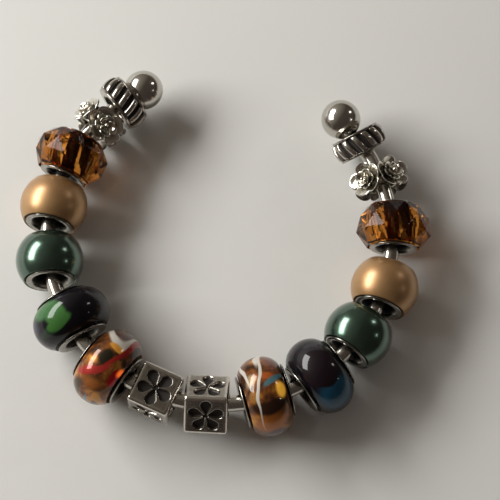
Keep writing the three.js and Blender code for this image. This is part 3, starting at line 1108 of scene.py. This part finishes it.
@dataclass
class RoseBead(Piece):
    """A short tube with many-petalled blossoms round it."""

    tube: float = 3.35
    tube_length: float = 3.4
    bore: float = 2.6
    seat_height: float = 3.05
    breadth: float = 1.3  # of a blossom round the wire, as a share of its length along it
    roses: int = 4
    thickness: float = 0.5
    fullness: float = 0.78  # the power that squares a petal's round outline
    tiers: tuple[Tier, ...] = (
        Tier(5, 0.5, 2.95, -0.02, 0.82, 40.0, 0.0, 0.12, 0.06),
        Tier(5, 0.5, 1.8, 0.4, 0.95, 40.0, 36.0, 0.14, 0.1),
        Tier(3, 0.3, 1.28, 0.62, 1.5, 58.0, 10.0, 0.14, 0.14),
    )
    bud: float = 0.5
    bud_height: float = 1.7
    heart_tarnish: float = 0.8  # how hollow a petal's inner end is
    face_tarnish: float = 0.5  # and what the middle of its face adds
    under_tarnish: float = 0.9  # how hollow its under face is
    rubbed: float = 0.12  # how much of these is rubbed off
    tube_hollow: float = 0.55
    bud_hollow: float = 0.25
    petal_rows: int = 9
    petal_columns: int = 28
    tube_columns: int = 72
    bud_rows: int = 12
    bud_columns: int = 20

    def petal(self, tier: Tier, number: int) -> tuple[np.ndarray, np.ndarray]:
        """One petal, a pillow over a unit disc bent into the blossom.

        A disc point (w out, s across) lies at the radius inner + (outer - inner)(w + 1)/2 - cup s^2, at the
        angle start + s half_angle, and at a height that rises from low to high as the cube of (w + 1)/2,
        with tilt s added so that each petal lies over the next. Its two faces are the thickness apart. The
        disc's sine and cosine are raised to a power below one, which makes its outline a full, round square.

        Args:
            tier: the round that it is in.
            number: which petal of the round it is.

        Returns:
            The grid, from the middle of the top face over the rim to the middle of the under face, and how
            hollow each point is.
        """
        outwards = np.sin(arc(0, math.pi / 2, self.petal_rows))
        ring = np.concatenate([outwards, outwards[::-1]])[:, None]
        face = np.repeat([1.0, -1.0], self.petal_rows)[:, None]
        sine, cosine = np.sin(turns(self.petal_columns)), np.cos(turns(self.petal_columns))
        out = ring * np.sign(cosine) * np.abs(cosine) ** self.fullness
        across = ring * np.sign(sine) * np.abs(sine) ** self.fullness
        rise = (out + 1) / 2
        radius = tier.inner + (tier.outer - tier.inner) * rise - tier.cup * across**2 * rise
        angle = math.radians(tier.start + 360 * number / tier.petals) + across * math.radians(tier.half_angle)
        height = tier.low + (tier.high - tier.low) * rise**3 + tier.tilt * across
        height = height + face * self.thickness / 2 * np.sqrt(np.maximum(1 - ring**4, 0))
        grid = np.stack([radius * np.cos(angle), self.breadth * radius * np.sin(angle), height], -1)
        top = self.heart_tarnish * (1 - rise) + self.face_tarnish * (1 - ring)
        return grid, np.clip(np.where(face > 0, top, self.under_tarnish) - self.rubbed, 0, 1)

    def build(self, side: Side) -> None:
        """Makes one bead: the tube, and its blossoms evenly round it.

        Args:
            side: the half of the bracelet.
        """
        node = f"rose_{side.value}"
        seat = self.bend.seat(node)
        seat = Seat(seat.origin, self.bend.faced_seat(node, self.roses, seat.axes[0]).axes)
        skin = Skin(f"rose_bead_{side.value}", seat)
        half = self.tube_length / 2
        tube = filleted([(half, self.tube, 0.3), (half, self.bore, 0.3)])
        skin.add(turned(tube, self.tube_columns), self.tube_hollow)
        sweep = arc(0, math.pi, self.bud_rows)
        dome = np.column_stack([self.bud_height / 2 * np.cos(sweep), self.bud * np.sin(sweep)])
        bud = turned(dome, self.bud_columns)[..., [1, 2, 0]] + np.array([0, 0, self.bud_height / 2])
        petals = [self.petal(tier, number) for tier in self.tiers for number in range(tier.petals)]
        for turn in turns(self.roses):
            c, s = math.cos(turn), math.sin(turn)
            spin = np.array([[1, 0, 0], [0, c, -s], [0, s, c]])
            for grid, hollow in [*petals, (bud, self.bud_hollow)]:
                skin.add((grid + np.array([0, 0, self.seat_height])) @ spin, hollow, loop_rows=False)
        self.dress(skin.build(), self.finishes.rose_silver, Slot.SILVER, node)


@dataclass(frozen=True)
class Sleeve:
    """The metal sleeve that lines a glass bead, with a dished lip at each end."""

    length: float
    lip: float
    bore: float = 2.7
    wall: float = 0.35
    lip_thickness: float = 0.55
    mouth_widening: float = 0.5
    mouth_depth: float = 1.0
    dish: float = 0.14
    lip_round: float = 0.26  # by which the lip's outer corner is broken
    lip_slope: float = 0.55  # share of the lip's thickness at its outer edge
    lip_hollow: float = 0.15
    columns: int = 96

    def grid(self) -> tuple[np.ndarray, np.ndarray]:
        """Its outline, up the outside and down the bore, with rounded corners, turned round.

        Returns:
            The grid, and how hollow each point is: least on the lips and 1 well inside the bore.
        """
        half, mouth = self.length / 2, self.bore + self.mouth_widening
        end = [
            (half - self.lip_thickness, self.bore + self.wall, 0.1),
            (half - self.lip_thickness * self.lip_slope, self.lip, 0.22),
            (half, self.lip - self.lip_round, 0.24),
            (half - self.dish, mouth, 0.3),
            (half - self.mouth_depth, self.bore, 0.3),
        ]
        rows = turned(filleted(end, 6), self.columns)
        radius = np.hypot(rows[..., 1], rows[..., 2])
        deep = smoothstep(half - 0.1, half - self.mouth_depth, np.abs(rows[..., 0]))
        return rows, self.lip_hollow + (1 - self.lip_hollow) * deep * (radius < mouth + 0.05)


@dataclass
class GlassBead(Piece):
    """A glass body over a metal sleeve."""

    kind: str
    slot: Slot
    length: float = 8.2
    lip: float = 4.3
    gap: float = 0.3
    sleeve_radius: float = 3.05
    lip_thickness: float = 0.55
    recess_step: float = 0.02  # from the outline's end down to the recess
    rows: int = 64
    columns: int = 128

    def outline(self) -> np.ndarray:
        """The body's outer outline from one lip to the other, as rows of (along, radius)."""
        raise NotImplementedError

    def recess(self, edge: float) -> np.ndarray:
        """The corners of the bore and of the recesses for the lips, from one mouth to the other.

        Args:
            edge: the outline's radius where it meets a lip.

        Returns:
            Rows of (along, radius).
        """
        floor, bore = self.length / 2 - self.lip_thickness - self.gap, self.sleeve_radius + self.gap
        top = edge - self.recess_step
        return np.array([(floor, top), (floor, bore), (-floor, bore), (-floor, top)])

    def build_body(self, skin: Skin) -> bpy.types.Object:
        """The glass body, turned smooth."""
        outer = self.outline()
        skin.add(turned(np.vstack([outer, self.recess(outer[-1, 1])]), self.columns))
        return skin.build()

    def build(self, side: Side) -> None:
        """Makes the body and its sleeve.

        Args:
            side: the half of the bracelet.
        """
        stem = f"{self.kind}_{side.value}"
        seat = self.bend.seat(f"{stem}_core")
        body = self.build_body(Skin(f"{self.kind}_glass_{side.value}", seat))
        self.dress(body, self.finishes.beads[self.slot, side], self.slot, f"{stem}_body")
        sleeve = Skin(f"{self.kind}_eyelet_{side.value}", seat)
        sleeve.add(*Sleeve(self.length, self.lip).grid())
        self.dress(sleeve.build(), self.finishes.eyelet, Slot.EYELET, f"{stem}_core")


@dataclass
class Pearl(GlassBead):
    """A pearl: a ball cut short by its lips."""

    radius: float = 6.0

    def outline(self) -> np.ndarray:
        """A circle's outline between the angles where it meets the lips."""
        edge = math.acos((self.lip + self.gap) / self.radius)
        sweep = arc(-edge, edge, self.rows)
        return self.radius * np.column_stack([np.sin(sweep), np.cos(sweep)])


@dataclass
class BlownBead(GlassBead):
    """A plump ring of blown glass: half an ellipse turned round the wire."""

    length: float = 8.5
    lip: float = 4.75
    rows: int = 72

    def outline(self) -> np.ndarray:
        """Half an ellipse, between the angles where it meets the lips."""
        edge = math.acos((self.lip + self.gap - BLOWN_MIDDLE) / BLOWN_DEPTH)
        sweep = arc(-edge, edge, self.rows)
        return np.column_stack([BLOWN_REACH * np.sin(sweep), BLOWN_MIDDLE + BLOWN_DEPTH * np.cos(sweep)])


@dataclass
class CutBead(GlassBead):
    """A cut glass bead: three belts of triangular facets between four rounds of corners."""

    radius: float = 6.68
    girdle: float = 1.27
    crown: float = 3.6
    upright: float = 6.4
    sides: int = 10
    facet_edge: float = 0.06  # width of the rounding between facets
    flattest_edge: float = 8.0  # least angle in degrees between two facets whose edge is rounded

    def outline(self) -> np.ndarray:
        """The rounds of corners from one lip over the belts to the other."""
        edge = (self.lip + self.gap) / math.cos(math.pi / self.sides)
        belts = [(-self.girdle, self.radius), (self.girdle, self.upright)]
        return np.array([(-self.crown, edge), *belts, (self.crown, edge)])

    def build_body(self, skin: Skin) -> bpy.types.Object:
        """The faceted body, its facets kept flat and their edges barely rounded.

        Each round of corners starts half a side further round than the one before, out and back again.
        """
        outer = self.outline()
        halves = np.array([0, 1, 2, 3, 3, 2, 1, 0])[:, None]
        rows = np.vstack([outer, self.recess(outer[-1, 1])])
        skin.add(turned(rows, self.sides, halves * math.pi / self.sides), split=True)
        body = skin.build(smooth=False)
        bevel = body.modifiers.new("facet_edges", "BEVEL")
        bevel.width = self.facet_edge * MM
        bevel.segments = 2
        bevel.limit_method = "ANGLE"
        bevel.angle_limit = math.radians(self.flattest_edge)
        return body


@dataclass
class FlowerCube(Piece):
    """A cube with rounded edges, bored along the wire, with a flower cut into each long face."""

    side_length: float = 7.6
    corner: float = 0.7
    end_edge: float = 0.525  # rounding of the edges round the two bored faces
    bore: float = 2.55
    reach: float = 3.15
    heart: float = 0.12
    eye: float = 0.42  # radius of the dark middle where the petals join
    petal_width: float = 1.95
    petal_depth: float = 0.6
    petal_wall: tuple[float, float] = (-0.07, 0.13)  # places inside a petal between which its wall drops
    face_tarnish: float = 0.4
    tarnish_start: tuple[float, float] = (0.35, 1.0)  # from a face's rim, where its tarnish sets in
    end_hollow: float = 0.2
    end_shares: tuple[float, ...] = (0.35, 0.7, 0.94)  # of the way over an end, where its rounds lie
    mouth_edge: float = 0.12  # by which the last of them would pass outside the bore
    mouth_rounds: tuple[tuple[float, float], ...] = ((0.03, 0.05), (0.0, 0.15))  # outside the bore, depth
    corner_rows: int = 9
    edge_rows: int = 7
    petals: int = 5
    columns_per_face: int = 84
    flat_rows: int = 88

    def flower(self, along: np.ndarray, across: np.ndarray) -> np.ndarray:
        """How far a point of a face lies inside the nearest petal, in millimetres.

        A petal is a circle of half the petal's width joined by its two tangents to a point. Inside the
        cone the distance is a x + b y, and beyond it that to the circle or to the point. The eye is a disc.

        Args:
            along: places along the wire.
            across: places across the face, towards the single petal.

        Returns:
            Distances, positive inside a petal.
        """
        round_end = self.petal_width / 2
        length = self.reach - round_end - self.heart
        slope = -round_end / length
        level = math.sqrt(1 - slope * slope)
        best = self.eye - np.hypot(along, across)
        for angle in turns(self.petals):
            x = np.abs(along * math.cos(angle) + across * math.sin(angle))
            y = across * math.cos(angle) - along * math.sin(angle) - self.heart
            key = -x * slope + y * level
            cone = x * level + y * slope
            end = np.hypot(x, y - length) - round_end
            distance = np.where(key < 0, np.hypot(x, y), np.where(key > level * length, end, cone))
            best = np.maximum(best, -distance)
        return best

    def section(self) -> tuple[np.ndarray, np.ndarray, np.ndarray]:
        """The square's outline with round corners, face by face.

        Returns:
            Places (towards the cuff's middle, up), the place across the face of each, and whether it is on
            a flat face.
        """
        half, count = self.side_length / 2, self.columns_per_face
        flat = half - self.corner
        face = np.column_stack([np.linspace(-flat, flat, count), np.full(count, half)])
        bend = arc(0, math.pi / 2, self.corner_rows)[1:-1]
        quarter = np.vstack([face, flat + self.corner * np.column_stack([np.sin(bend), np.cos(bend)])])
        sides = [
            quarter @ np.array([[math.cos(turn), -math.sin(turn)], [math.sin(turn), math.cos(turn)]])
            for turn in turns(4)
        ]
        return np.vstack(sides), np.tile(quarter[:, 0], 4), np.tile(np.arange(len(quarter)) < count, 4)

    def sides(self) -> tuple[np.ndarray, np.ndarray]:
        """The four long faces with their flowers, and the rounding of their edges at one end.

        Returns:
            The grid, and how hollow each point is.
        """
        outline, across, flats = self.section()
        half = self.side_length / 2
        edge = arc(0, math.pi / 2, self.edge_rows)[1:]
        level = half - self.end_edge
        straight = np.linspace(-level, level, self.flat_rows)
        along = np.concatenate([straight, level + self.end_edge * np.sin(edge)])
        scale = np.concatenate([np.ones(self.flat_rows), 1 - self.end_edge / half * (1 - np.cos(edge))])
        grid = np.empty((len(along), len(outline), 3))
        grid[..., 0] = along[:, None]
        grid[..., 1:] = scale[:, None, None] * outline
        sunk = smoothstep(*self.petal_wall, self.flower(grid[..., 0], across)) * flats
        sunk[self.flat_rows :] = 0
        farthest = np.abs(outline).max(1, keepdims=True)
        outwards = np.where(np.abs(outline) == farthest, np.sign(outline), 0.0)
        grid[..., 1:] -= self.petal_depth * sunk[..., None] * outwards
        rim_gap = half - np.maximum(np.abs(grid[..., 0]), np.abs(across))
        face = self.face_tarnish * smoothstep(*self.tarnish_start, rim_gap) * flats
        return grid, np.maximum(sunk, face)

    def end(self, rim: np.ndarray) -> np.ndarray:
        """A bored end face, from a rim of (inwards, up) places to just inside the bore."""
        turn = np.arctan2(rim[:, 0], rim[:, 1])
        mouth = np.column_stack([np.sin(turn), np.cos(turn)])
        half, edge = self.side_length / 2, mouth * (self.bore + self.mouth_edge)
        rounds = [(half, rim * (1 - share) + edge * share) for share in self.end_shares]
        rounds += [(half - depth, mouth * (self.bore + gap)) for gap, depth in self.mouth_rounds]
        return np.stack([np.column_stack([np.full(len(rim), x), ring]) for x, ring in rounds])

    def build(self, side: Side) -> None:
        """Makes one cube. The left one is threaded the other way round.

        Args:
            side: the half of the bracelet.
        """
        grid, hollow = self.sides()
        end = self.end(grid[-1, :, 1:])
        mirror = np.array([-1.0, 1.0, 1.0])
        edge = grid[self.flat_rows :][::-1]
        whole = np.concatenate([grid, end, end[::-1] * mirror, edge * mirror])
        bare = np.full((2 * len(end), len(hollow[0])), self.end_hollow)
        node = f"cube_{side.value}"
        seat = self.bend.faced_seat(node, 4)
        skin = Skin(f"flower_cube_{side.value}", seat.reversed() if side is Side.LEFT else seat)
        skin.add(whole, np.vstack([hollow, bare, np.zeros(edge.shape[:2])]))
        self.dress(skin.build(), self.finishes.silver, Slot.SILVER, node)


# The setting


@dataclass(frozen=True)
class Lamp:
    """A soft box that looks at the bracelet.

    azimuth is in degrees from the right, anticlockwise seen from above, and elevation above the floor.
    size, its width and height, and distance are in metres, and power is in watts.
    """

    name: str
    azimuth: float
    elevation: float
    size: tuple[float, float]
    power: float
    colour: Colour
    distance: float = 0.5


@dataclass(frozen=True)
class Studio:
    """The floor, the lights and the camera. Places are from the bracelet's frame, in metres."""

    target: tuple[float, float, float] = (0.00457, -0.00009, 0.006)
    elevation: float = 74.45
    distance: float = 0.3
    scale: float = 5.632  # photograph pixels to a millimetre at the camera's target
    frame_pixels: float = 500.0
    sensor: float = 36.0
    floor_reach: float = 3.0
    paper: tuple[Colour, Colour] = ((0.73, 0.725, 0.7), (0.8, 0.795, 0.775))
    lamps: tuple[Lamp, ...] = (
        Lamp("window", 156, 32, (0.47, 0.18), 3.3, (1.0, 0.99, 0.96)),
        Lamp("far_window", 33, 28, (0.05, 0.08), 0.09, (1.0, 0.96, 0.9)),
        Lamp("small_lamp", -9, 27, (0.018, 0.018), 0.03, (1.0, 0.97, 0.92)),
    )
    window_wall: tuple[float, float, float] = (-0.8, 0.5, 0.25)
    room: tuple[tuple[float, Colour], ...] = (
        (0.0, (0.05, 0.038, 0.036)),
        (0.6, (0.075, 0.061, 0.05)),
        (1.0, (0.36, 0.33, 0.28)),
    )

    def stand(self, name: str, data: Any, azimuth: float, elevation: float, distance: float) -> Any:
        """Stands a lamp or the camera round the target, and turns it to look there.

        Args:
            name: its name.
            data: the lamp or camera.
            azimuth: degrees from the right, anticlockwise seen from above.
            elevation: degrees above the floor.
            distance: metres from the target.

        Returns:
            The new object.
        """
        turn, rise = math.radians(azimuth), math.radians(elevation)
        way = (math.cos(rise) * math.cos(turn), math.cos(rise) * math.sin(turn), math.sin(rise))
        thing = linked(name, data)
        thing.location = Vector(self.target) + Vector(way) * distance
        thing.rotation_euler = (-Vector(way)).to_track_quat("-Z", "Y").to_euler()
        return thing

    def camera(self) -> None:
        """A camera at the photograph's angle and distance."""
        data = bpy.data.cameras.new("camera")
        data.sensor_width = self.sensor
        data.lens = self.scale * self.distance / MM / self.frame_pixels * self.sensor
        data.clip_start, data.clip_end = 0.01, 10.0
        bpy.context.scene.camera = self.stand("camera", data, -90.0, self.elevation, self.distance)

    def light(self, lamp: Lamp) -> None:
        """Makes a lamp."""
        data = bpy.data.lights.new(lamp.name, "AREA")
        data.shape = "RECTANGLE"
        data.size, data.size_y = lamp.size
        data.energy = lamp.power
        data.color = lamp.colour
        self.stand(lamp.name, data, lamp.azimuth, lamp.elevation, lamp.distance)

    def floor(self) -> None:
        """A wide sheet of pale paper just under the bracelet."""
        reach = self.floor_reach
        mesh = bpy.data.meshes.new("floor")
        square = [(-reach, -reach, 0), (reach, -reach, 0), (reach, reach, 0), (-reach, reach, 0)]
        mesh.from_pydata(square, [], [(0, 1, 2, 3)])
        floor = linked("floor", mesh)
        paint = Paint("paper")
        where = paint.node("ShaderNodeTexCoord").outputs["Object"]
        paint.set(
            Base_Color=paint.mix(paint.noise(14.0, 4.0, where), *self.paper),
            Roughness=0.85,
            Specular_IOR_Level=0.2,
        )
        paint.bump(paint.noise(700.0, 5.0, where, 0.7), 0.5, 0.05)
        mesh.materials.append(paint.material)

    def world(self) -> None:
        """The dim warm room round the table, lighter on the window's side.

        The share of the lighter colour rises with the cosine of the angle to the window's wall.
        """
        world = bpy.data.worlds.new("room")
        world.use_nodes = True
        nodes = Nodes(world.node_tree)
        ways = {0: nodes.node("ShaderNodeTexCoord").outputs["Generated"], 1: self.window_wall}
        across = nodes.node("ShaderNodeVectorMath", ways, operation="DOT_PRODUCT").outputs["Value"]
        colour = nodes.ramp(nodes.span(across, -1.0, 1.0), self.room)
        nodes.feed(world.node_tree.nodes["Background"].inputs["Color"], colour)
        bpy.context.scene.world = world

    def build(self) -> None:
        """Sets the whole stage."""
        self.camera()
        self.floor()
        self.world()
        for lamp in self.lamps:
            self.light(lamp)
        bpy.context.scene.view_settings.view_transform = "Standard"


def main() -> None:
    logging.basicConfig(level=logging.INFO, format="%(name)s: %(message)s")
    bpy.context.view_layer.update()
    for world in list(bpy.data.worlds):
        bpy.data.worlds.remove(world)
    common = Finishes.mixed(), Bend.fitted()
    Cuff(*common).build()
    pieces = (
        FlowerCube(*common),
        RibbedRing(*common),
        RoseBead(*common),
        CutBead(*common, "amber", Slot.AMBER),
        Pearl(*common, "gold", Slot.GOLD),
        Pearl(*common, "green", Slot.GREEN),
        BlownBead(*common, "dark", Slot.DARK),
        BlownBead(*common, "foil", Slot.FOIL),
    )
    for piece in pieces:
        for side in Side:
            piece.build(side)
    Studio().build()


if __name__ == "__main__":
    main()
